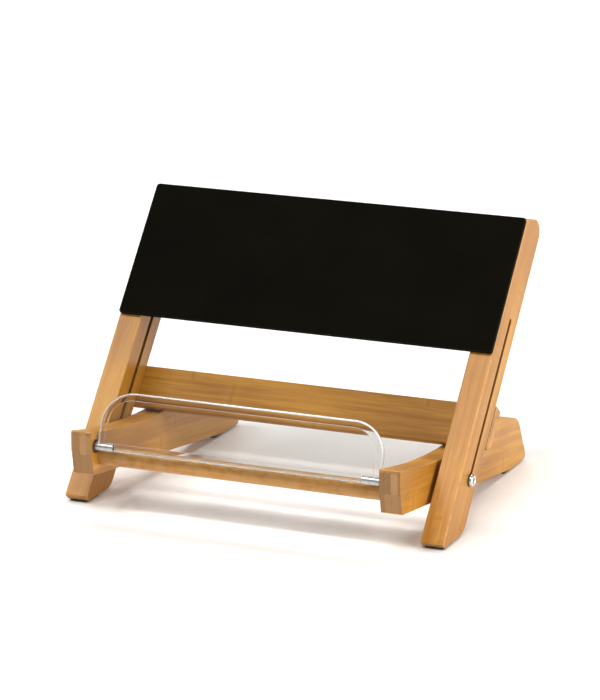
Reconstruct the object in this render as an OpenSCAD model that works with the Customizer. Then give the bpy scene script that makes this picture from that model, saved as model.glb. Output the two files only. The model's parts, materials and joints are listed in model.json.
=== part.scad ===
// Folding bamboo book stand.
// A back frame of two slotted posts carries a black display panel and leans on the
// rail of a base frame. The base frame turns on two bolts that ride in the post
// slots, and a clear page holder turns on two clamp pins between its front arms.
// X runs across the stand, Y from front to back and Z up from the surface it stands on.

/* [Overall] */
// Width over the outer faces of the posts
stand_w = 300; // [260:1:360]
// Recline of the posts from vertical, in degrees
recline = 40; // [38:0.5:41]
// Underside of the base frame falls to the rear by this angle, in degrees
fall = 7.7; // [7:0.1:8.5]

/* [Posts] */
// Width of a post
post_w = 18; // [16:1:22]
// Depth of a post from its front to its rear face
post_d = 34; // [32:1:36]
// Length of a post's front edge, from the toe to the top
post_l = 262; // [245:1:275]
// Rise of the post's top from its front edge to its crown
crown_rise = 11; // [4:1:14]
// Radius of the rear top corner
crown_r = 10; // [4:1:12]
// Length of the square cut across the toe
toe_cut = 5.5; // [3:0.5:8]
// Radius of the heel behind the toe
heel_r = 14; // [6:1:16]

/* [Slot and pivot] */
// Distance of the pivot from the toe, along the post
pin_up = 59; // [56:1:62]
// Distance of the pivot behind the post's front face
pin_back = 18.3; // [17:0.1:19]
// Travel that the slot allows the pivot bolt
slot_run = 128; // [100:1:135]
// Width of the slot
slot_w = 4.3; // [4.2:0.1:5]
// Diameter of the pivot bolt's shank
bolt_d = 4; // [3:0.5:4]
// Diameter of the pivot bolt's head
head_d = 9.5; // [8:0.5:12]
// Height of the pivot bolt's head
head_t = 2.6; // [2:0.1:4]
// Free space between a post and its base member
side_gap = 3.5; // [2.5:0.5:4]

/* [Display panel] */
// Height of the panel along the posts
panel_h = 111; // [90:1:112]
// Thickness of the panel
panel_t = 3; // [2:0.5:4]
// Thickness of the mounting tape behind the panel
tape_t = 0.4; // [0.2:0.1:1]

/* [Base frame] */
// Thickness of a base member
member_w = 16; // [15:1:18]
// Reach of the arm tips in front of the pivot
arm_reach = 82; // [76:1:84]
// Reach of the feet behind the pivot
heel_reach = 184; // [178:1:188]
// Distance of the pivot above the underside of the member
pivot_lift = 16.4; // [15.5:0.1:17]
// Height of the arm tips above the pivot
tip_rise = 27.5; // [24:0.5:30]
// Depth of the hollow in the top edge of an arm
scoop = 3; // [1:0.5:4]
// Slope of the top of the rear foot, in degrees
foot_slope = 15.6; // [12:0.2:18]
// Diameter of the round front crossbar
bar_d = 14; // [10:1:14]
// Height of the rear rail along the posts
rail_h = 34; // [28:0.5:35]
// Thickness of the rear rail
rail_t = 11.5; // [10:0.5:12]

/* [Page holder] */
// Thickness of the clear sheet
sheet_t = 4; // [3:0.5:4]
// Height of the sheet above its pins
sheet_h = 41.5; // [34:0.5:46]
// Radius of the sheet's top corners
sheet_r = 25; // [10:1:30]
// Lean of the sheet towards the posts, in degrees
sheet_lean = 21; // [10:1:30]
// Diameter of the clamp pins
clamp_d = 7; // [6.5:0.5:7.5]
// Length of a clamp pin beyond its arm
clamp_out = 15; // [12:0.5:18]

/* [Feet] */
// Thickness of the rubber feet
pad_t = 1.6; // [1:0.1:2.5]

/* [Hidden] */

$fn = 48;
arc_steps = 8;
hollow_steps = 14;

// Radius to which the corners of the wooden pieces are eased
ease = 1.5;

// Places across the stand, measured from its middle
post_out = stand_w / 2;
post_in = post_out - post_w;
member_out = post_in - side_gap;
member_in = member_out - member_w;

// Top of a post: its highest corner at a share of the depth, and the fall behind it
crown_at = 0.6;
crown_round = 6;
crown_fall = 1;

// Rear foot: height of its top edge above the pivot at crest_y, and its rounded rear
crest_y = 129;
crest_z = 9.6;
shoulder_in = 18.5;
shoulder_r = 22;
heel_round = 3;

// Base member: the seat behind the rail, and the rounded nose and sole of the arm
seat_above_foot = 3;
horn_above_foot = 29.5;
horn_r = 3;
nose_drop = 14;
nose_r = 12;
sole_in = 4;
sole_r = 20;

// Place of the pivot and of the toes. The rounded heel shortens the foot by heel_loss,
// and the stand is centred on Y = 0 over what is left.
toe_z = pad_t + toe_cut * sin(recline);
pivot_z = toe_z + pin_up * cos(recline) - pin_back * sin(recline);
foot_z = pad_t - pivot_z;
heel_angle = atan2(foot_top(heel_reach - shoulder_in) - foot_z, shoulder_in);
heel_loss = heel_round * (1 / tan(heel_angle / 2) - 1);
pivot_y = (arm_reach - heel_reach + heel_loss) / 2;

// Clearances
slip = 0.05;
fit_gap = 0.02;
lean_gap = 0.3;
washer_gap = 0.2;

// Rear rail, measured along and behind the posts. The relief along its lower rear edge
// lets the posts turn until they are parallel with the base members.
rail_foot = 92;
rail_front = post_d + lean_gap;
rail_back = rail_front + rail_t;
rail_relief = 7;

// Display panel and its tapes
panel_r = 2.5;
tape_side = 2;
tape_end = 6;

// Pivot hardware
washer_t = 0.6;
spacer_d = 14;
insert_d = 7;
insert_l = 12;
bolt_l_in = insert_l - 1;
socket_d = 4.6;
socket_depth = 1.6;

// Wooden dowels that hold the rail to the feet
dowel_d = 6;
dowel_in_rail = 8;
dowel_in_foot = 14;
dowel_up = [12, 23];

// Page holder: its pins sit behind and below the arm tips
clamp_back = 7.2;
clamp_drop = 12;
clamp_y = pivot_y - arm_reach + clamp_back;
clamp_z = pivot_z + tip_rise - clamp_drop;
bush_od = clamp_d + 1.8;
bush_l = 10;
pin_in = bush_l - 0.5;
flange_d = bush_od + 1;
flange_t = 1.2;
sheet_gap = 0.4;
sheet_drop = 2.6;
sheet_half = member_in - flange_t - sheet_gap;

// Front crossbar, behind and below the arm tips too
bar_back = 17;
bar_drop = 21.5;
bar_y = pivot_y - arm_reach + bar_back;
bar_z = pivot_z + tip_rise - bar_drop;
bar_in = 9;

// Rubber feet: their lengths, and how far they stay inside the wood
front_pad_l = 18;
front_pad_in = 1;
rear_pad_l = 40;
rear_pad_in = 3.5;
pad_side = 2;

// How far a cutting solid passes through the surface that it opens
over = 1;

// Colours
bamboo = [0.85, 0.62, 0.35];
dark_bamboo = [0.76, 0.52, 0.28];
ink = [0.08, 0.08, 0.08];
rubber = [0.14, 0.13, 0.12];
steel = [0.78, 0.79, 0.80];
brass = [0.80, 0.66, 0.34];
clear = [0.80, 0.90, 0.95, 0.45];

function unit(a) = a / norm(a);
function turn(a) = a > 180 ? a - 360 : a < -180 ? a + 360 : a;

// Points of the arc that rounds corner b, between its neighbours a and c
function corner(a, b, c, r) =
    r <= 0 ? [b] :
    let (
        p = unit(a - b),
        q = unit(c - b),
        half = acos(p * q) / 2,
        middle = b + unit(p + q) * r / sin(half),
        first = b + p * r / tan(half) - middle,
        last = b + q * r / tan(half) - middle,
        start = atan2(first.y, first.x),
        sweep = turn(atan2(last.y, last.x) - start)
    )
    [
        for (i = [0 : arc_steps])
            let (angle = start + sweep * i / arc_steps)
            middle + r * [cos(angle), sin(angle)]
    ];

// Outline whose corners, given as [x, y, radius], are rounded
function rounded(c) =
    let (n = len(c), flat = [for (p = c) [p[0], p[1]]])
    [for (i = [0 : n - 1]) each corner(flat[(i + n - 1) % n], flat[i], flat[(i + 1) % n], c[i][2])];

// Points of a shallow parabolic hollow between a and b, without its ends
function hollow(a, b, depth) =
    let (inward = unit([b.y - a.y, a.x - b.x]))
    [
        for (i = [1 : hollow_steps - 1])
            let (
                t = i / hollow_steps,
                p = a + t * (b - a) + 4 * t * (1 - t) * depth * inward
            )
            [p.x, p.y, 0]
    ];

// A place given along and behind the posts, as [back, up] from the pivot
function from_pivot(back, up) =
    let (b = back - pin_back, u = up - pin_up)
    [b * cos(recline) + u * sin(recline), u * cos(recline) - b * sin(recline)];

// Height of the member's underside, relative to the pivot, at y
function underside(y) = (-pivot_lift - y * sin(fall)) / cos(fall);

// Height of the top of the rear foot, relative to the pivot, at y
function foot_top(y) = crest_z - (y - crest_y) * tan(foot_slope);

// Puts the posts' own frame (X across, Y back, Z up the post) in its place
module reclined() {
    translate([0, pivot_y, pivot_z])
        rotate([-recline, 0, 0])
            translate([0, -pin_back, -pin_up])
                children();
}

// Puts the sheet's own frame (Z up the sheet, Y through it) on the clamp pins
module on_clamps() {
    translate([0, clamp_y, clamp_z])
        rotate([-sheet_lean, 0, 0])
            children();
}

// Makes a right-hand piece and its mirror image on the left
module both_sides() {
    for (side = [0, 1])
        mirror([side, 0, 0])
            children();
}

// Extrudes a side view, drawn in Y and Z, from x0 to x1
module slab(x0, x1) {
    translate([x0, 0, 0])
        rotate([90, 0, 90])
            linear_extrude(x1 - x0)
                children();
}

// Cylinder along X from x0 to x1
module rod(d, x0, x1) {
    translate([x0, 0, 0])
        rotate([0, 90, 0])
            cylinder(d = d, h = x1 - x0);
}

// Side view of a post, in its own frame
module post_outline() {
    flat_end = (post_d - toe_cut) * tan(recline);
    polygon(rounded([
        [0, 0, ease],
        [0, post_l, ease],
        [post_d * crown_at, post_l + crown_rise, crown_round],
        [post_d, post_l + crown_rise - crown_fall, crown_r],
        [post_d, flat_end, heel_r],
        [toe_cut, 0, ease]
    ]));
}

module post() {
    reclined()
        difference() {
            slab(post_in, post_out)
                post_outline();
            for (up = [0, slot_run])
                translate([0, pin_back, pin_up + up])
                    rod(slot_w, post_in - over, post_out + over);
            translate([post_in - over, pin_back - slot_w / 2, pin_up])
                cube([post_w + 2 * over, slot_w, slot_run]);
        }
}

module left_post() {
    color(bamboo)
        mirror([1, 0, 0])
            post();
}

module right_post() {
    color(bamboo)
        post();
}

module display_panel() {
    color(ink)
        reclined()
            translate([0, -tape_t, post_l - panel_h])
                rotate([90, 0, 0])
                    linear_extrude(panel_t)
                        polygon(rounded([
                            [-post_out, 0, panel_r],
                            [post_out, 0, panel_r],
                            [post_out, panel_h, panel_r],
                            [-post_out, panel_h, panel_r]
                        ]));
}

// Two strips of tape that hold the panel to the posts
module panel_tapes() {
    color(rubber)
        both_sides()
            reclined()
                translate([post_in + tape_side, -tape_t, post_l - panel_h + tape_end])
                    cube([post_w - 2 * tape_side, tape_t, panel_h - 2 * tape_end]);
}

// Rubber feet under the toes of the posts
module front_pads() {
    toe = from_pivot(toe_cut, 0);
    color(rubber)
        both_sides()
            translate([post_in + pad_side, pivot_y + toe.x + front_pad_in, 0])
                cube([post_w - 2 * pad_side, front_pad_l, pad_t]);
}

// Side view of a base member, drawn from the pivot
module member_outline() {
    tip = [-arm_reach, tip_rise];
    seat = from_pivot(rail_back, rail_foot + seat_above_foot);
    horn = from_pivot(rail_back, rail_foot + horn_above_foot);
    shoulder_y = heel_reach - shoulder_in;
    sole_y = sole_in - arm_reach;
    flat_start = (-pivot_lift - foot_z * cos(fall)) / sin(fall);
    polygon(rounded(concat(
        [[tip.x, tip.y, ease]],
        hollow(tip, seat, scoop),
        [
            [seat.x, seat.y, ease],
            [horn.x, foot_top(horn.x), horn_r],
            [shoulder_y, foot_top(shoulder_y), shoulder_r],
            [heel_reach, foot_z, heel_round],
            [flat_start, foot_z, sole_r],
            [sole_y, underside(sole_y), ease],
            [-arm_reach, tip_rise - nose_drop, nose_r]
        ]
    )));
}

// Base member with the bores for its insert, bush, crossbar and rail dowels
module base_member() {
    difference() {
        translate([0, pivot_y, pivot_z])
            slab(member_in, member_out)
                member_outline();
        translate([0, pivot_y, pivot_z])
            rod(insert_d + 2 * fit_gap, member_out - insert_l, member_out + over);
        translate([0, clamp_y, clamp_z])
            rod(bush_od + 2 * fit_gap, member_in - over, member_in + bush_l + fit_gap);
        translate([0, bar_y, bar_z])
            rod(bar_d + 2 * fit_gap, member_in - over, member_in + bar_in + fit_gap);
        rail_pins(dowel_d + 2 * fit_gap, fit_gap);
    }
}

module left_base_member() {
    color(bamboo)
        mirror([1, 0, 0])
            base_member();
}

module right_base_member() {
    color(bamboo)
        base_member();
}

// The two dowels at one end of the rail, longer by extra at each end
module rail_pins(d, extra) {
    for (up = dowel_up)
        reclined()
            translate([member_in + member_w / 2, rail_back - dowel_in_rail - extra, rail_foot + up])
                rotate([-90, 0, 0])
                    cylinder(d = d, h = dowel_in_rail + dowel_in_foot + 2 * extra);
}

module rear_rail() {
    color(dark_bamboo)
        difference() {
            reclined()
                slab(-post_out, post_out)
                    polygon(rounded([
                        [rail_front, rail_foot, ease],
                        [rail_front, rail_foot + rail_h, ease],
                        [rail_back, rail_foot + rail_h, ease],
                        [rail_back, rail_foot + rail_relief, ease],
                        [rail_back - rail_relief, rail_foot, ease]
                    ]));
            both_sides()
                rail_pins(dowel_d + 2 * fit_gap, fit_gap);
        }
}

module rail_dowels() {
    color(dark_bamboo)
        both_sides()
            rail_pins(dowel_d, 0);
}

module front_crossbar() {
    color(bamboo)
        translate([0, bar_y, bar_z])
            rod(bar_d, -member_in - bar_in, member_in + bar_in);
}

// Rubber strips under the rear feet
module rear_pads() {
    color(rubber)
        both_sides()
            translate([member_in + pad_side, pivot_y + heel_reach - rear_pad_l - rear_pad_in, 0])
                cube([member_w - 2 * pad_side, rear_pad_l, pad_t]);
}

// Brass inserts that take the pivot bolts
module pivot_inserts() {
    inner_x = member_out - insert_l + fit_gap;
    color(brass)
        both_sides()
            translate([0, pivot_y, pivot_z])
                difference() {
                    rod(insert_d, inner_x, member_out);
                    rod(bolt_d + 2 * slip, inner_x - over, member_out + over);
                }
}

module pivot_bolt() {
    head_x = post_out + washer_t + 2 * washer_gap;
    translate([0, pivot_y, pivot_z])
        difference() {
            union() {
                rod(bolt_d, member_out - bolt_l_in, head_x + head_t / 2);
                rod(head_d, head_x, head_x + head_t);
            }
            translate([head_x + head_t - socket_depth, 0, 0])
                rotate([0, 90, 0])
                    cylinder(d = socket_d, h = socket_depth + over, $fn = 6);
        }
}

module left_pivot_bolt() {
    color(steel)
        mirror([1, 0, 0])
            pivot_bolt();
}

module right_pivot_bolt() {
    color(steel)
        pivot_bolt();
}

// Ring along X round the pivot, on both sides
module pivot_rings(od, x0, x1) {
    both_sides()
        translate([0, pivot_y, pivot_z])
            difference() {
                rod(od, x0, x1);
                rod(bolt_d + 2 * fit_gap, x0 - over, x1 + over);
            }
}

// Nylon spacers between the posts and the base members
module pivot_spacers() {
    color(ink)
        pivot_rings(spacer_d, member_out + washer_gap, post_in - washer_gap);
}

// Thin washers under the bolt heads
module pivot_washers() {
    color(ink)
        pivot_rings(head_d, post_out + washer_gap, post_out + washer_gap + washer_t);
}

module page_holder() {
    color(clear)
        on_clamps()
            rotate([90, 0, 0])
                translate([0, 0, -sheet_t / 2])
                    linear_extrude(sheet_t)
                        polygon(rounded([
                            [-sheet_half, -sheet_drop, ease],
                            [sheet_half, -sheet_drop, ease],
                            [sheet_half, sheet_h, sheet_r],
                            [-sheet_half, sheet_h, sheet_r]
                        ]));
}

// Slotted pin that clamps a lower corner of the sheet and turns in its bush
module clamp_pin() {
    slot = sheet_t + 2 * fit_gap;
    slot_end = flange_t + fit_gap;
    on_clamps()
        difference() {
            rod(clamp_d, member_in - clamp_out, member_in + pin_in);
            translate([member_in - clamp_out - over, -slot / 2, -clamp_d])
                cube([clamp_out + over - slot_end, slot, 2 * clamp_d]);
        }
}

module left_clamp_pin() {
    color(steel)
        mirror([1, 0, 0])
            clamp_pin();
}

module right_clamp_pin() {
    color(steel)
        clamp_pin();
}

// Flanged nylon bushes that hold the clamp pins by friction
module holder_bushes() {
    color(ink)
        both_sides()
            translate([0, clamp_y, clamp_z])
                difference() {
                    union() {
                        rod(bush_od, member_in - flange_t / 2, member_in + bush_l);
                        rod(flange_d, member_in - flange_t, member_in);
                    }
                    rod(clamp_d + 2 * slip, member_in - flange_t - over, member_in + bush_l + over);
                }
}

left_post();
right_post();
display_panel();
panel_tapes();
front_pads();
left_base_member();
right_base_member();
rear_rail();
rail_dowels();
front_crossbar();
rear_pads();
pivot_inserts();
left_pivot_bolt();
right_pivot_bolt();
pivot_spacers();
pivot_washers();
page_holder();
left_clamp_pin();
right_clamp_pin();
holder_bushes();
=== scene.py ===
"""Looks of the folding bamboo book stand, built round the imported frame."""

import json
import math

import bmesh
import bpy
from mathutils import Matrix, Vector


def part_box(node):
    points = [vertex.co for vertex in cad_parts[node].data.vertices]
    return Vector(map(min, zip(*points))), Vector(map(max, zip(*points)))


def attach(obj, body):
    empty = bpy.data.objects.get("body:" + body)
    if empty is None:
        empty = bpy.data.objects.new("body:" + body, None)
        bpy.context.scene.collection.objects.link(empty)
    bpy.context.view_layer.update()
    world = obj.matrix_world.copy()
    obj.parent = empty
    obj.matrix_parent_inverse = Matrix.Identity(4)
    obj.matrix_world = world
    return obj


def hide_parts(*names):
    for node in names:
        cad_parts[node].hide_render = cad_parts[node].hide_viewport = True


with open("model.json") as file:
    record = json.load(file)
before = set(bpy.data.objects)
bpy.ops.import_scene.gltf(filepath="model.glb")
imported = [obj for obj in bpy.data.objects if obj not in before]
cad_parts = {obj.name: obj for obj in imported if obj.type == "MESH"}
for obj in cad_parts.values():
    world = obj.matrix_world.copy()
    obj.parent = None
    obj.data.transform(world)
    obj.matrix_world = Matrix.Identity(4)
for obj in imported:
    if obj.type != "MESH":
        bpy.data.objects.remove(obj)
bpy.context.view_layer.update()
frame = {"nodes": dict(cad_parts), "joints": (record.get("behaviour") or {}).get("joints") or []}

MM = 0.001

# ---------------------------------------------------------------- directions and places
# The slots run along the posts, so the slide joint's axis gives the recline.
joints = {joint["name"]: joint for joint in frame["joints"]}
ACROSS = Vector((1, 0, 0))
UP_POST = -Vector(joints["slot_travel"]["axis"]).normalized()
BEHIND_POST = UP_POST.cross(ACROSS).normalized()
# The base members fall towards their feet at the back by this angle.
FALL = math.radians(7.7)
ALONG_MEMBER = Vector((0, math.cos(FALL), -math.sin(FALL)))
UP_MEMBER = Vector((0, math.sin(FALL), math.cos(FALL)))


def middle(node):
    """Middle of a CAD node's box."""
    low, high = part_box(node)
    return (low + high) / 2


PIVOT = middle("pivot_inserts")
BAR = middle("front_crossbar")

# ---------------------------------------------------------------- sizes
WOOD_EASE = 1.2 * MM
BORE_EASE = 0.3 * MM
SLOT_EASE = 0.45 * MM
SLOT_REACH = 2.6 * MM
SLOT_SPAN = (-4 * MM, 135 * MM)

BOLT_R = 2.0 * MM
THREAD_PITCH = 0.7 * MM
THREAD_DEPTH = 0.22 * MM
SOCKET_AF = 4.0 * MM
SOCKET_DEPTH = 1.6 * MM
HEAD_WALL = 0.7 * MM
HEAD_RIM_R = 3.05 * MM
CROWN_STEPS = 8
INSERT_L = 11.9 * MM
INSERT_STEPS = 24
KNURL_DEPTH = 0.3 * MM
KNURL_COUNT = 18
# Part of a knurl by which each ring of the insert is turned on from the last
KNURL_TWIST = 0.25
WASHER_T = 0.6 * MM

SHEET_R = 25 * MM
SHEET_FOOT_R = 1.5 * MM
# Clear sheet from its front to its back: inset, depth, and 1 where the next band is pale frosting with a
# painted glow. The first band is a thin pale line on the front face, a painted highlight.
SHEET_SECTION = (
    (5.8 * MM, 0.0, 1), (5.5 * MM, 0.03 * MM, 0), (1.2 * MM, 0.33 * MM, 1), (0.8 * MM, 0.62 * MM, 1),
    (0.3 * MM, 1.2 * MM, 1), (0.0, 2.0 * MM, 1), (0.1 * MM, 2.8 * MM, 1), (0.45 * MM, 3.4 * MM, 1),
    (1.0 * MM, 3.83 * MM, 1), (1.7 * MM, 4.0 * MM, 0),
)

# ---------------------------------------------------------------- bamboo
# Width of a laminated strip across the face and its depth
POST_STRIP = (6.0 * MM, 17.0 * MM)
MEMBER_STRIP = (5.4 * MM, 15.0 * MM)
RAIL_STRIP = (17.0 * MM, 5.8 * MM)
BAR_STRIP = (7.0 * MM, 7.0 * MM)
DOWEL_STRIP = (9.0 * MM, 9.0 * MM)
GLUE_LINE = 0.12 * MM
KNUCKLE_SPACING = 190 * MM
# How far a strip's chance value moves its knuckles, and how ragged their lines are, in spacings
KNUCKLE_SHUFFLE = 7.3
KNUCKLE_RAGGED = 0.016
# Start of the pattern along, across and through the fibres
GRAIN_START = (0.37, 0.3, 0.3)

# How far the fibres wander sideways, and how fast they do so, per metre
WANDER = 1.6 * MM
WANDER_RATE = 14
# How fast each pattern changes, per metre: along the fibres, across them and through them
BROAD_BANDS = (7, 230, 230)
FINE_LINES = (30, 1500, 1500)
VESSELS = (28, 1150, 1150)
SLOW_TONES = (9, 26, 26)

PALE = (0.60, 0.288, 0.040)
HONEY = (0.445, 0.184, 0.016)
GOLD = (0.65, 0.325, 0.044)
BROWN = (0.22, 0.078, 0.009)
END_LIGHT = (0.36, 0.195, 0.076)
END_DARK = (0.20, 0.100, 0.034)
END_SEAM = (0.07, 0.032, 0.012)
END_DOT = (0.13, 0.06, 0.02)
RUBBED = (0.60, 0.345, 0.140)
# Dark brown painted shade for the walls of slots and bores
SLOT_SHADE = (0.13, 0.055, 0.016)

# ---------------------------------------------------------------- camera and light
AZIMUTH = math.radians(23.04)
ELEVATION = math.radians(15.29)
DISTANCE = 2.5869
AIM = Vector((-0.00384, 0, 0.10669))
LENS = 178.9
FLOOR_REACH = 14.0

SKY = 0.30
SOFT = math.radians(8)
LEANS = (-0.68, -0.44, -0.20, 0.04, 0.28)
# Name, tilt along Y and power of each sun in the row
SUN_ROWS = (("front", -0.52, 0.45), ("rear", 0.68, 0.33))
# Name, place, width and power
SIDE_LIGHTS = (("right", (2.4, -0.4, 0.9), 2.0, 54.0), ("left", (-2.4, 0.3, 1.0), 1.4, 6.0))
LIT_POINT = Vector((0, 0, 0.08))


# ---------------------------------------------------------------- node helpers
class Paint:
    """A material whose nodes are added one call at a time."""

    def __init__(self, name):
        self.material = bpy.data.materials.new(name)
        self.material.use_nodes = True
        self.tree = self.material.node_tree
        self.tree.nodes.clear()
        output = self.tree.nodes.new("ShaderNodeOutputMaterial")
        self.shader = self.tree.nodes.new("ShaderNodeBsdfPrincipled")
        self.tree.links.new(self.shader.outputs[0], output.inputs[0])
        coords = self.tree.nodes.new("ShaderNodeTexCoord")
        self.place = coords.outputs["Object"]
        self.facing = coords.outputs["Normal"]

    def set(self, socket, value):
        """Gives a socket a value, or links it to another node's output."""
        if isinstance(value, bpy.types.NodeSocket):
            self.tree.links.new(value, socket)
        else:
            socket.default_value = value

    def node(self, kind, inputs=(), out=0, **settings):
        """Adds a node; inputs holds values by socket name or number. Returns an output."""
        made = self.tree.nodes.new(kind)
        for key, value in settings.items():
            setattr(made, key, value)
        for key, value in dict(inputs).items():
            self.set(made.inputs[key], value)
        return made.outputs[out]

    def math(self, operation, a, b=0.0):
        return self.node("ShaderNodeMath", {0: a, 1: b}, operation=operation)

    def times(self, a, b):
        return self.math("MULTIPLY", a, b)

    def plus(self, a, b):
        return self.math("ADD", a, b)

    def minus(self, a, b):
        return self.math("SUBTRACT", a, b)

    def from_middle(self, value):
        """Distance from the middle of the cell, where cells are one unit long."""
        return self.math("ABSOLUTE", self.minus(self.math("FRACT", value), 0.5))

    def dot(self, vector, direction):
        inputs = {0: vector, 1: tuple(direction)}
        return self.node("ShaderNodeVectorMath", inputs, out="Value", operation="DOT_PRODUCT")

    def join(self, x, y, z):
        return self.node("ShaderNodeCombineXYZ", {0: x, 1: y, 2: z})

    def stretch(self, values, rates):
        """Vector of up to three values, each times its own rate."""
        scaled = [self.times(value, rate) for value, rate in zip(values, rates)]
        return self.join(*scaled, *[0.0] * (3 - len(scaled)))

    def noise(self, vector, scale=1.0, detail=2.0, rough=0.5):
        inputs = {"Vector": vector, "Scale": scale, "Detail": detail, "Roughness": rough}
        return self.node("ShaderNodeTexNoise", inputs)

    def cells(self, vector, scale=1.0, randomness=1.0):
        """Distance to the nearest of many scattered points."""
        inputs = {"Vector": vector, "Scale": scale, "Randomness": randomness}
        return self.node("ShaderNodeTexVoronoi", inputs)

    def fade(self, value, low, high, at_low=0.0, at_high=1.0):
        """Smooth step from at_low to at_high as value goes from low to high."""
        inputs = {0: value, 1: low, 2: high, 3: at_low, 4: at_high}
        return self.node("ShaderNodeMapRange", inputs, interpolation_type="SMOOTHSTEP")

    def mix(self, factor, a, b):
        """Colour a where factor is 0, and b where it is 1."""
        made = self.tree.nodes.new("ShaderNodeMix")
        made.data_type = "RGBA"
        self.set(made.inputs[0], factor)
        self.set(made.inputs[6], a)
        self.set(made.inputs[7], b)
        return made.outputs[2]

    def attribute(self, name):
        return self.node("ShaderNodeAttribute", out="Fac", attribute_name=name)

    def bump(self, height, distance, strength):
        return self.node("ShaderNodeBump", {"Height": height, "Distance": distance, "Strength": strength})

    def finish(self, **inputs):
        """Sets the shader's own sockets and returns the material."""
        for key, value in inputs.items():
            self.set(self.shader.inputs[key.replace("_", " ")], value)
        return self.material


def tinted(colour, tone=1.0):
    """Opaque colour with its channels times tone."""
    red, green, blue = colour
    return (red * tone, green * tone, blue * tone, 1.0)


# ---------------------------------------------------------------- materials
def strips(paint, b, c, strip, shift):
    """Laminated strips: a chance value for each strip, and 1 on the glue lines between them."""
    width, depth = strip
    row = paint.math("DIVIDE", b, width)
    layer = paint.math("DIVIDE", c, depth)
    cell = paint.join(paint.math("FLOOR", row), paint.math("FLOOR", layer), shift)
    chance = paint.node("ShaderNodeTexWhiteNoise", {"Vector": cell}, out="Value")
    between_rows = paint.fade(paint.from_middle(row), 0.5 - GLUE_LINE / width, 0.5)
    between_layers = paint.fade(paint.from_middle(layer), 0.5 - GLUE_LINE / depth, 0.5)
    return chance, paint.math("MAXIMUM", between_rows, between_layers)


def knuckles(paint, a, chance, fine):
    """Knuckles at each strip's own place: a thin line, and a wide halo round it."""
    turns = paint.plus(paint.math("DIVIDE", a, KNUCKLE_SPACING), paint.times(chance, KNUCKLE_SHUFFLE))
    ragged = paint.times(paint.minus(fine, 0.5), KNUCKLE_RAGGED)
    off = paint.times(paint.from_middle(paint.plus(turns, ragged)), KNUCKLE_SPACING)
    line = paint.fade(off, 0.2 * MM, 2.6 * MM, 1.0, 0.0)
    halo = paint.fade(off, 1.5 * MM, 12.0 * MM, 1.0, 0.0)
    return line, halo


def bamboo(name, along, across, tone, shift, strip, end_tone=1.1, gloss=0.34):
    """Laminated bamboo: strips with long fibres, knuckle lines, end grain and sanded edges."""
    paint = Paint(name)
    start_a, start_b, start_c = GRAIN_START
    a = paint.plus(paint.dot(paint.place, along), start_a + shift)
    b = paint.plus(paint.dot(paint.place, across), start_b)
    c = paint.plus(paint.dot(paint.place, along.cross(across)), start_c)
    chance, glue = strips(paint, b, c, strip, shift)

    # Fibres: broad bands of tone, fine lines, and the dark dashes of the vessels
    wander = paint.noise(paint.join(paint.times(a, WANDER_RATE), shift, 0.0), detail=1.0)
    fibre = (a, paint.plus(b, paint.times(wander, WANDER)), c)
    broad = paint.noise(paint.stretch(fibre, BROAD_BANDS), detail=3.0)
    fine = paint.noise(paint.stretch(fibre, FINE_LINES), detail=3.0, rough=0.6)
    dash = paint.fade(paint.cells(paint.stretch(fibre, VESSELS), randomness=0.9), 0.16, 0.34, 1.0, 0.0)
    slow = paint.noise(paint.stretch((a, b, c), SLOW_TONES), detail=1.0)
    line, halo = knuckles(paint, a, chance, fine)

    pale = tinted(PALE, tone)
    honey = tinted(HONEY, tone)
    brown = tinted(BROWN, tone)
    colour = paint.mix(paint.fade(broad, 0.36, 0.64), honey, pale)
    colour = paint.mix(paint.times(paint.minus(1.0, chance), 0.34), colour, honey)
    colour = paint.mix(paint.fade(fine, 0.38, 0.62, 0.34, 0.0), colour, brown)
    colour = paint.mix(paint.times(dash, 0.38), colour, brown)
    colour = paint.mix(paint.fade(slow, 0.36, 0.60, 0.30, 0.0), colour, brown)
    colour = paint.mix(paint.fade(slow, 0.50, 0.72, 0.0, 0.40), colour, tinted(GOLD, tone))
    colour = paint.mix(paint.times(halo, 0.22), colour, pale)
    colour = paint.mix(paint.times(line, 0.30), colour, brown)
    colour = paint.mix(paint.times(glue, 0.3), colour, brown)

    # End grain: dark dots of cut vessels and dark glue lines on a browner ground
    end = paint.fade(paint.math("ABSOLUTE", paint.dot(paint.facing, along)), 0.72, 0.93)
    ground = paint.mix(paint.times(chance, 0.85), tinted(END_LIGHT, end_tone), tinted(END_DARK, end_tone))
    ground = paint.mix(paint.times(dash, 0.55), ground, tinted(END_DOT, tone))
    ground = paint.mix(paint.times(glue, 0.6), ground, tinted(END_SEAM, end_tone))
    colour = paint.mix(end, colour, ground)

    # Sanded edges show paler, where handling has rubbed the finish
    handled = paint.fade(paint.noise(paint.place, scale=160.0, detail=3.0), 0.35, 0.6, 0.25, 0.8)
    worn = paint.times(paint.attribute("wear"), handled)
    colour = paint.mix(paint.times(worn, 0.55), colour, tinted(RUBBED, tone))

    # Painted shade: the walls of the routed slots and bores are painted dark brown, as the shadow in those
    # recesses
    colour = paint.mix(paint.times(paint.attribute("cut"), 0.85), colour, tinted(SLOT_SHADE, tone))

    height = paint.plus(paint.times(fine, 0.55), paint.times(dash, -0.6))
    height = paint.plus(height, paint.times(line, 0.9))
    height = paint.minus(height, paint.times(glue, 0.8))
    satin = paint.plus(paint.times(fine, 0.16), paint.times(broad, 0.1))
    satin = paint.plus(satin, paint.times(end, 0.12))
    return paint.finish(
        Base_Color=colour,
        Roughness=paint.plus(satin, 0.26),
        Normal=paint.bump(height, 0.06 * MM, 0.5),
        Specular_IOR_Level=gloss,
    )


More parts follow.
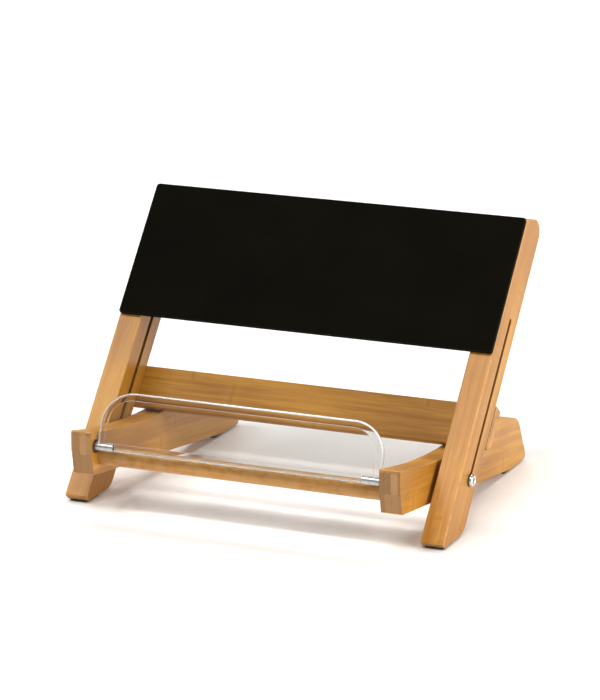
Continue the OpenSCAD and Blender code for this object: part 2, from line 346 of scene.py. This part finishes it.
def painted_panel():
    """Black lacquer with a fine orange peel, faint wiping marks and rubbed edges."""
    paint = Paint("panel_lacquer")
    peel = paint.noise(paint.place, scale=1400.0)
    cloud = paint.noise(paint.place, scale=18.0, detail=4.0)
    sides = (paint.dot(paint.place, ACROSS), paint.dot(paint.place, UP_POST))
    wiped = paint.noise(paint.stretch(sides, (12, 420)), detail=3.0)
    dust = paint.fade(paint.cells(paint.place, scale=260.0), 0.03, 0.06, 1.0, 0.0)
    colour = paint.mix(
        paint.fade(cloud, 0.3, 0.7), tinted((0.0022, 0.0019, 0.0006)), tinted((0.0033, 0.0029, 0.0012))
    )
    colour = paint.mix(paint.times(dust, 0.05), colour, tinted((0.12, 0.12, 0.11)))
    colour = paint.mix(paint.times(paint.attribute("wear"), 0.35), colour, tinted((0.030, 0.029, 0.027)))
    rough = paint.plus(paint.times(cloud, 0.08), paint.times(wiped, 0.10))
    return paint.finish(
        Base_Color=colour,
        Roughness=paint.plus(rough, 0.44),
        Normal=paint.bump(peel, 0.02 * MM, 0.35),
        Specular_IOR_Level=0.015,
    )


def moulded(name, dark, light, rough, grain, relief):
    """Black rubber, nylon or foam: a fine moulded grain with paler rubbed spots and edges."""
    paint = Paint(name)
    pores = paint.noise(paint.place, scale=grain, detail=4.0, rough=0.65)
    smear = paint.noise(paint.place, scale=90.0, detail=3.0)
    colour = paint.mix(paint.fade(smear, 0.35, 0.7), tinted(dark), tinted(light))
    edge = paint.times(paint.attribute("wear"), paint.fade(smear, 0.3, 0.6, 0.1, 0.6))
    colour = paint.mix(edge, colour, tinted(light, 2.2))
    return paint.finish(
        Base_Color=colour,
        Roughness=paint.plus(paint.times(pores, 0.2), rough - 0.1),
        Normal=paint.bump(pores, relief, 0.6),
    )


def nylon(name):
    """Black moulded nylon."""
    return moulded(name, (0.012, 0.012, 0.012), (0.022, 0.022, 0.022), 0.42, 1500.0, 0.02 * MM)


def turned_metal(name, colour, rough, axis):
    """Machined metal: fine tool marks round the axis, faint stains and bright edges."""
    paint = Paint(name)
    lathe = paint.noise(paint.stretch((paint.dot(paint.place, axis),), (5200,)), detail=3.0)
    stain = paint.noise(paint.place, scale=240.0, detail=4.0)
    tint = paint.mix(paint.fade(stain, 0.35, 0.7, 0.0, 0.6), tinted(colour), tinted(colour, 0.72))
    tint = paint.mix(paint.times(paint.attribute("wear"), 0.5), tint, tinted(colour, 1.25))
    marks = paint.plus(paint.times(lathe, 0.14), paint.times(stain, 0.12))
    return paint.finish(
        Base_Color=tint,
        Metallic=1.0,
        Roughness=paint.plus(marks, rough - 0.13),
        Normal=paint.bump(lathe, 0.012 * MM, 0.5),
    )


def acrylic():
    """Clear acrylic sheet with faint wiping marks."""
    paint = Paint("clear_sheet")
    smear = paint.noise(paint.place, scale=35.0, detail=4.0)
    sides = (paint.dot(paint.place, ACROSS), paint.dot(paint.place, UP_MEMBER))
    hair = paint.noise(paint.stretch(sides, (60, 2600)))
    rough = paint.times(paint.fade(smear, 0.45, 0.75), 0.035)
    return paint.finish(
        Base_Color=paint.mix(
            paint.fade(smear, 0.3, 0.7), tinted((0.965, 0.985, 0.98)), tinted((0.985, 0.995, 0.99))
        ),
        Transmission_Weight=1.0,
        IOR=1.49,
        Roughness=paint.plus(rough, 0.01),
        Normal=paint.bump(hair, 0.002 * MM, 0.15),
    )


def acrylic_edge_glow():
    """Rim of the sheet: frosting, painted pale white as the glow of the light that the edge gathers."""
    paint = Paint("clear_sheet_edge_glow")
    sides = (paint.dot(paint.place, ACROSS), paint.dot(paint.place, UP_MEMBER))
    saw = paint.noise(paint.stretch(sides, (900, 300)), detail=3.0)
    return paint.finish(
        Base_Color=paint.mix(
            paint.fade(saw, 0.3, 0.7), tinted((0.90, 0.925, 0.915)), tinted((0.97, 0.98, 0.975))
        ),
        Transmission_Weight=0.75,
        IOR=1.49,
        Roughness=paint.plus(paint.times(saw, 0.1), 0.2),
        Normal=paint.bump(saw, 0.02 * MM, 0.3),
    )


def floor_paper():
    """Pale studio paper with a very faint tooth, slightly warm so that its shadows are too."""
    paint = Paint("studio_floor")
    tooth = paint.noise(paint.place, scale=120.0, detail=3.0)
    return paint.finish(
        Base_Color=paint.mix(
            paint.fade(tooth, 0.3, 0.7), tinted((0.90, 0.865, 0.83)), tinted((0.92, 0.885, 0.85))
        ),
        Roughness=0.8,
        Normal=paint.bump(tooth, 0.05 * MM, 0.1),
        Specular_IOR_Level=0.2,
    )


# ---------------------------------------------------------------- shapes
WELD = 0.002 * MM
FLAT = math.radians(0.4)
CREASE = math.radians(32)
SHEET_CREASE = math.radians(3)


def placed(name, mesh, node, body, slot, *materials):
    """Puts a finished mesh in the scene in place of a CAD node."""
    piece = bpy.data.objects.new(name, mesh)
    bpy.context.scene.collection.objects.link(piece)
    mesh.materials.clear()
    for material in materials:
        mesh.materials.append(material)
    weighted = piece.modifiers.new("weighted", "WEIGHTED_NORMAL")
    weighted.keep_sharp = True
    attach(piece, body)
    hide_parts(node)


def smoothed(work, crease):
    """Smooth faces with hard edges wherever two faces meet at more than the crease angle."""
    for face in work.faces:
        face.smooth = True
    for edge in work.edges:
        edge.smooth = len(edge.link_faces) == 2 and edge.calc_face_angle(0) < crease


def to_mesh(work, name):
    """Turns the working mesh into a mesh of its own."""
    mesh = bpy.data.meshes.new(name)
    work.to_mesh(mesh)
    work.free()
    return mesh


def in_box(point, low, high, margin=0.6 * MM):
    """True where a point is inside a box seen along X."""
    return all(low[i] - margin <= point[i] <= high[i] + margin for i in (1, 2))


def near_slot(point):
    """True for points on the edges of the posts' slots."""
    away = point - PIVOT
    low, high = SLOT_SPAN
    return abs(away.dot(BEHIND_POST)) < SLOT_REACH and low < away.dot(UP_POST) < high


def eased_mesh(node, radius, fine=BORE_EASE, fillers=(), fine_test=None, segments=4):
    """The CAD node's mesh with its sharp edges rounded, finely where another piece fills a bore."""
    holes = [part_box(filler) for filler in fillers]
    work = bmesh.new()
    work.from_mesh(frame["nodes"][node].data)
    bmesh.ops.remove_doubles(work, verts=work.verts, dist=WELD)
    bmesh.ops.dissolve_limit(work, angle_limit=FLAT, verts=work.verts, edges=work.edges)

    def is_fine(edge):
        point = (edge.verts[0].co + edge.verts[1].co) / 2
        return any(in_box(point, *hole) for hole in holes) or bool(fine_test and fine_test(point))

    # Bores and slots run along X, so their walls face away from it
    # Mask of the bore and slot walls, where the wood paints the shade of the recess
    cut = work.faces.layers.float.new("cut")
    for face in work.faces:
        inside = abs(face.normal.x) < 0.5 and all(is_fine(edge) for edge in face.edges)
        face[cut] = 1.0 if inside else 0.0

    rounded = set()
    for width, wanted in ((radius, False), (fine, True)):
        edges = [
            edge for edge in work.edges
            if len(edge.link_faces) == 2 and edge.calc_face_angle(0) > CREASE and is_fine(edge) == wanted
        ]
        if edges:
            made = bmesh.ops.bevel(
                work, geom=edges, offset=width, offset_type="OFFSET", segments=segments,
                profile=0.5, affect="EDGES", clamp_overlap=True, miter_outer="ARC",
            )
            rounded.update(made["faces"])
    rounded = {face for face in rounded if face.is_valid}
    wear = work.verts.layers.float.new("wear")
    for vert in work.verts:
        vert[wear] = 1.0 if vert.link_faces and all(face in rounded for face in vert.link_faces) else 0.0
    smoothed(work, CREASE)
    mesh = to_mesh(work, node)
    for old in ("custom_normal", "sharp_face"):
        if old in mesh.attributes:
            mesh.attributes.remove(mesh.attributes[old])
    return mesh


def add_turned(work, rings, centre, side, steps, closed):
    """Adds a solid of rings (x, radius) round X, where a radius may be a function of the angle."""
    loops = []
    for x, radius in rings:
        if not callable(radius) and radius <= 0:
            loops.append([work.verts.new((side * x, centre.y, centre.z))])
            continue
        loop = []
        for step in range(steps):
            angle = 2 * math.pi * step / steps
            reach = radius(angle) if callable(radius) else radius
            y = centre.y + reach * math.cos(angle)
            z = centre.z + reach * math.sin(angle)
            loop.append(work.verts.new((side * x, y, z)))
        loops.append(loop)
    pairs = list(zip(loops, loops[1:]))
    if closed:
        pairs.append((loops[-1], loops[0]))
    for first, second in pairs:
        for step in range(steps):
            after = (step + 1) % steps
            if len(first) == 1:
                work.faces.new((first[0], second[step], second[after]))
            elif len(second) == 1:
                work.faces.new((first[step], second[0], first[after]))
            else:
                work.faces.new((first[step], second[step], second[after], first[after]))


def turned_mesh(name, rings, centre, sides, steps, closed=False):
    """Mesh of a turned solid, once for each side of the stand."""
    work = bmesh.new()
    for side in sides:
        add_turned(work, rings, centre, side, steps, closed)
    bmesh.ops.recalc_face_normals(work, faces=work.faces)
    wear = work.verts.layers.float.new("wear")
    for vert in work.verts:
        turns = [edge.calc_face_angle(0) for edge in vert.link_edges if len(edge.link_faces) == 2]
        vert[wear] = 1.0 if max(turns, default=0) > CREASE else 0.0
    smoothed(work, CREASE)
    return to_mesh(work, name)


def ring_profile(x0, x1, inner, outer, ease):
    """Closed section of a washer or spacer, with its corners eased."""
    return [
        (x0, inner + ease), (x0, outer - ease), (x0 + ease, outer), (x1 - ease, outer),
        (x1, outer - ease), (x1, inner + ease), (x1 - ease, inner), (x0 + ease, inner),
    ]


def bar_rings(half, radius, ease):
    """Solid round bar from -half to half, with its ends eased."""
    return [
        (-half, 0.0), (-half, radius - ease), (-half + ease, radius),
        (half - ease, radius), (half, radius - ease), (half, 0.0),
    ]


def hexagon(angle):
    """Radius of the hexagon socket's wall at an angle."""
    turn = math.radians(60)
    return SOCKET_AF / 2 / math.cos((angle % turn) - turn / 2)


def thread_radius(x):
    """Radius of the bolt's thread at x, as a function of the angle."""
    def radius(angle):
        turn = (x / THREAD_PITCH - angle / (2 * math.pi)) % 1.0
        return BOLT_R - THREAD_DEPTH * (1 - abs(2 * turn - 1))
    return radius


def knurl_radius(outer, twist):
    """Radius of the insert's slanted knurl, as a function of the angle."""
    def radius(angle):
        turn = (angle * KNURL_COUNT / (2 * math.pi) + twist) % 1.0
        return outer - KNURL_DEPTH * abs(2 * turn - 1)
    return radius


def bolt_rings():
    """Button-head bolt from its threaded tip to the hexagon socket in its head."""
    low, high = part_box("right_pivot_bolt")
    head_r = (high.z - low.z) / 2
    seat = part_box("pivot_washers")[1].x + 0.2 * MM
    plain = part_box("pivot_inserts")[1].x + 1.2 * MM
    first_turn = low.x + 0.4 * MM
    rings = [(low.x, 0.0), (low.x, BOLT_R - 0.6 * MM)]
    steps = int((plain - first_turn) / (THREAD_PITCH / 6))
    for step in range(steps + 1):
        x = first_turn + (plain - first_turn) * step / steps
        rings.append((x, thread_radius(x)))
    rings += [(plain + 0.3 * MM, BOLT_R), (seat, BOLT_R)]
    rings += [(seat, head_r - 0.3 * MM), (seat + 0.25 * MM, head_r)]
    wall_top = seat + HEAD_WALL
    for step in range(CROWN_STEPS + 1):
        angle = math.pi / 2 * step / CROWN_STEPS
        x = wall_top + (high.x - wall_top) * math.sin(angle)
        rings.append((x, HEAD_RIM_R + (head_r - HEAD_RIM_R) * math.cos(angle)))
    socket_floor = high.x - SOCKET_DEPTH
    rings += [
        (high.x, lambda angle: hexagon(angle) + 0.25 * MM),
        (high.x - 0.25 * MM, hexagon),
        (socket_floor, hexagon),
        (socket_floor, 1.2 * MM),
        (socket_floor - 0.35 * MM, 0.0),
    ]
    return rings


def insert_rings():
    """Closed section of a knurled brass insert, bored right through."""
    low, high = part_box("pivot_inserts")
    outer = (high.z - low.z) / 2
    start = high.x - INSERT_L
    bore = BOLT_R + 0.1 * MM
    chamfer = 0.4 * MM
    collar = 1.2 * MM
    rings = [(start, bore), (start, outer - chamfer)]
    for step in range(INSERT_STEPS + 1):
        x = start + chamfer + (INSERT_L - chamfer - collar) * step / INSERT_STEPS
        rings.append((x, knurl_radius(outer, step * KNURL_TWIST)))
    rings += [(high.x - 1.0 * MM, outer - chamfer), (high.x - 0.8 * MM, outer), (high.x - 0.15 * MM, outer)]
    rings += [(high.x, outer - 0.15 * MM), (high.x, bore + 0.2 * MM), (high.x - 0.25 * MM, bore)]
    return rings


def sheet_outline(half, low, high, inset):
    """Points (x, up) round the sheet, moved inwards: big round corners at the top, small ones below."""
    top_r = SHEET_R - inset
    foot_r = max(SHEET_FOOT_R - inset, 0.4 * MM)
    half, low, high = half - inset, low + inset, high - inset
    corners = (
        (half - foot_r, low + foot_r, foot_r, -90, 4),
        (half - top_r, high - top_r, top_r, 0, 24),
        (top_r - half, high - top_r, top_r, 90, 24),
        (foot_r - half, low + foot_r, foot_r, 180, 4),
    )
    points = []
    for x, up, radius, start, steps in corners:
        for step in range(steps + 1):
            angle = math.radians(start + 90 * step / steps)
            points.append((x + radius * math.cos(angle), up + radius * math.sin(angle)))
    return points


def sheet_mesh():
    """Clear sheet with a wide polished bevel round its front and a rounded rim."""
    solid = frame["nodes"]["page_holder"].data
    # The largest face is the sheet's front or its back
    out = max(solid.polygons, key=lambda face: face.area).normal.copy()
    if out.y > 0:
        out = -out
    up = out.cross(ACROSS).normalized()
    if up.z < 0:
        up = -up
    half = max(abs(vert.co.x) for vert in solid.vertices)
    ups = [vert.co.dot(up) for vert in solid.vertices]
    front = max(vert.co.dot(out) for vert in solid.vertices)
    work = bmesh.new()
    loops = []
    for inset, depth, _ in SHEET_SECTION:
        level = out * (front - depth)
        outline = sheet_outline(half, min(ups), max(ups), inset)
        loops.append([work.verts.new(ACROSS * x + up * rise + level) for x, rise in outline])
    work.faces.new(loops[0])
    work.faces.new(loops[-1])
    # Bands marked 1 take the pale rim material: the painted glow of the rim and the painted highlight line
    # on the front
    for (_, _, frosted_glow), first, second in zip(SHEET_SECTION, loops, loops[1:]):
        for step in range(len(first)):
            after = (step + 1) % len(first)
            face = work.faces.new((first[step], second[step], second[after], first[after]))
            face.material_index = frosted_glow
    bmesh.ops.recalc_face_normals(work, faces=work.faces)
    smoothed(work, SHEET_CREASE)
    return to_mesh(work, "sheet")


# ---------------------------------------------------------------- camera, light and floor
def studio():
    """Camera on the front right of the stand, pale floor, and soft light from above and the sides."""
    scene = bpy.context.scene
    scene.view_settings.view_transform = "Standard"
    back = Vector((
        math.sin(AZIMUTH) * math.cos(ELEVATION),
        -math.cos(AZIMUTH) * math.cos(ELEVATION),
        math.sin(ELEVATION),
    ))
    camera = bpy.data.objects.new("camera", bpy.data.cameras.new("camera"))
    camera.data.lens = LENS
    camera.location = AIM + back * DISTANCE
    camera.rotation_euler = (-back).to_track_quat("-Z", "Y").to_euler()
    scene.collection.objects.link(camera)
    scene.camera = camera

    floor = bpy.data.meshes.new("floor")
    corners = [(x * FLOOR_REACH, y * FLOOR_REACH, 0) for x, y in ((-1, -1), (1, -1), (1, 1), (-1, 1))]
    floor.from_pydata(corners, [], [(0, 1, 2, 3)])
    floor.materials.append(floor_paper())
    ground = bpy.data.objects.new("floor", floor)
    scene.collection.objects.link(ground)

    world = bpy.data.worlds.new("studio")
    world.use_nodes = True
    sky = world.node_tree.nodes["Background"]
    sky.inputs["Color"].default_value = (1.0, 1.0, 1.0, 1.0)
    sky.inputs["Strength"].default_value = SKY
    scene.world = world

    # Two rows of soft suns, one in front of the stand and one behind it. The floor is overexposed,
    # so it is dark only where both rows are blocked. A row's spread softens shadows across the stand.
    for row, tilt, power in SUN_ROWS:
        for lean in LEANS:
            sun = bpy.data.objects.new(row, bpy.data.lights.new(row, "SUN"))
            sun.data.angle = SOFT
            sun.data.energy = power
            sun.rotation_euler = Vector((lean, tilt, 1)).to_track_quat("Z", "Y").to_euler()
            scene.collection.objects.link(sun)

    for name, place, size, power in SIDE_LIGHTS:
        light = bpy.data.objects.new(name, bpy.data.lights.new(name, "AREA"))
        light.data.size = size
        light.data.energy = power
        light.location = place
        light.rotation_euler = (Vector(place) - LIT_POINT).to_track_quat("Z", "Y").to_euler()
        scene.collection.objects.link(light)


# ---------------------------------------------------------------- the stand
def posts():
    """The two bamboo posts with their routed slots."""
    # Painted light and shade: the left post's wood is painted darker and the right post's paler, as the
    # light falls more from the right
    for side, shift, tone in (("left", 0.11, 0.90), ("right", 0.53, 1.08)):
        node = side + "_post"
        wood = bamboo(node + "_bamboo", UP_POST, ACROSS, tone, shift, POST_STRIP)
        mesh = eased_mesh(node, WOOD_EASE, fine=SLOT_EASE, fine_test=near_slot)
        placed(node + "_shaped", mesh, node, "back_frame", "bamboo_posts", wood)


def base_members():
    """The two bamboo base members, with fine edges at the bores that other pieces fill."""
    fillers = ("pivot_inserts", "holder_bushes", "front_crossbar", "rail_dowels")
    for side, shift in (("left", 0.29), ("right", 0.83)):
        node = side + "_base_member"
        wood = bamboo(side + "_member_bamboo", ALONG_MEMBER, ACROSS, 0.97, shift, MEMBER_STRIP)
        mesh = eased_mesh(node, WOOD_EASE, fillers=fillers)
        placed(node + "_shaped", mesh, node, "base", "bamboo_base", wood)


def rear_rail():
    """Rear rail, duller than the other wood, its wood painted darker as the shade under the panel, with
    paler end grain.
    """
    # The low tone 0.72 is painted shade
    wood = bamboo("rail_bamboo", ACROSS, UP_POST, 0.72, 0.58, RAIL_STRIP, end_tone=1.6, gloss=0.10)
    mesh = eased_mesh("rear_rail", WOOD_EASE)
    placed("rear_rail_shaped", mesh, "rear_rail", "base", "bamboo_rail", wood)


def crossbar():
    """Round bamboo bar between the arms."""
    low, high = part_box("front_crossbar")
    rings = bar_rings(high.x, (high.z - low.z) / 2, 0.8 * MM)
    wood = bamboo("bar_bamboo", ACROSS, UP_MEMBER, 0.94, 0.67, BAR_STRIP)
    mesh = turned_mesh("bar", rings, BAR, (1,), 72)
    placed("front_crossbar_round", mesh, "front_crossbar", "base", "bamboo_bar", wood)


def dowels():
    """Dowels that hold the rail to the base members."""
    wood = bamboo("dowel_bamboo", BEHIND_POST, ACROSS, 0.95, 0.19, DOWEL_STRIP)
    mesh = eased_mesh("rail_dowels", 0.5 * MM)
    placed("rail_dowels_eased", mesh, "rail_dowels", "base", "bamboo_rail", wood)


def panel_parts():
    """Black panel and the two tapes that hold it."""
    mesh = eased_mesh("display_panel", 0.55 * MM)
    placed("display_panel_eased", mesh, "display_panel", "back_frame", "panel_black", painted_panel())
    tape = moulded("tape_foam", (0.012, 0.012, 0.012), (0.020, 0.020, 0.020), 0.7, 2200.0, 0.03 * MM)
    mesh = eased_mesh("panel_tapes", 0.1 * MM)
    placed("panel_tapes_eased", mesh, "panel_tapes", "back_frame", "tape_black", tape)


def rubber_parts():
    """Thin rubber strips under the toes and under the rear feet."""
    rubber = moulded("foot_rubber", (0.018, 0.017, 0.016), (0.030, 0.029, 0.027), 0.72, 1900.0, 0.05 * MM)
    for node, body in (("front_pads", "back_frame"), ("rear_pads", "base")):
        placed(node + "_eased", eased_mesh(node, 0.35 * MM), node, body, "rubber_black", rubber)


def pivot_parts():
    """Bolts, inserts, spacers and washers on the pivot axis."""
    steel = turned_metal("bolt_steel", (0.66, 0.66, 0.65), 0.26, ACROSS)
    for side, node in ((-1, "left_pivot_bolt"), (1, "right_pivot_bolt")):
        mesh = turned_mesh(node, bolt_rings(), PIVOT, (side,), 48)
        placed(node + "_threaded", mesh, node, "pivot", "steel", steel)

    brass = turned_metal("insert_brass", (0.72, 0.50, 0.20), 0.30, ACROSS)
    mesh = turned_mesh("inserts", insert_rings(), PIVOT, (-1, 1), 72, closed=True)
    placed("pivot_inserts_knurled", mesh, "pivot_inserts", "base", "brass", brass)

    plastic = nylon("spacer_nylon")
    bore = BOLT_R + 0.03 * MM
    spacer_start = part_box("pivot_inserts")[1].x + 0.2 * MM
    washer_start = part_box("pivot_washers")[1].x - WASHER_T
    for node, start, ease in (
        ("pivot_spacers", spacer_start, 0.35 * MM), ("pivot_washers", washer_start, 0.12 * MM)
    ):
        low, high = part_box(node)
        section = ring_profile(start, high.x, bore, (high.z - low.z) / 2, ease)
        mesh = turned_mesh(node, section, PIVOT, (-1, 1), 64, closed=True)
        placed(node + "_turned", mesh, node, "pivot", "nylon_black", plastic)


def holder_parts():
    """Clear sheet, clamp pins and bushes."""
    mesh = sheet_mesh()
    bands = [face.material_index for face in mesh.polygons]
    placed("page_holder_polished", mesh, "page_holder", "holder", "clear_acrylic", acrylic(), acrylic_edge_glow())
    mesh.polygons.foreach_set("material_index", bands)
    # The pins' steel is painted darker than the bolts', a painted shade for the dark crossbar and shadowed
    # floor they reflect
    steel = turned_metal("pin_steel_shaded", (0.50, 0.50, 0.49), 0.34, ACROSS)
    for node in ("left_clamp_pin", "right_clamp_pin"):
        placed(node + "_machined", eased_mesh(node, 0.3 * MM), node, "holder", "steel", steel)
    mesh = eased_mesh("holder_bushes", 0.2 * MM, segments=2)
    placed("holder_bushes_eased", mesh, "holder_bushes", "base", "nylon_black", nylon("bush_nylon"))


studio()
posts()
base_members()
rear_rail()
crossbar()
dowels()
panel_parts()
rubber_parts()
pivot_parts()
holder_parts()
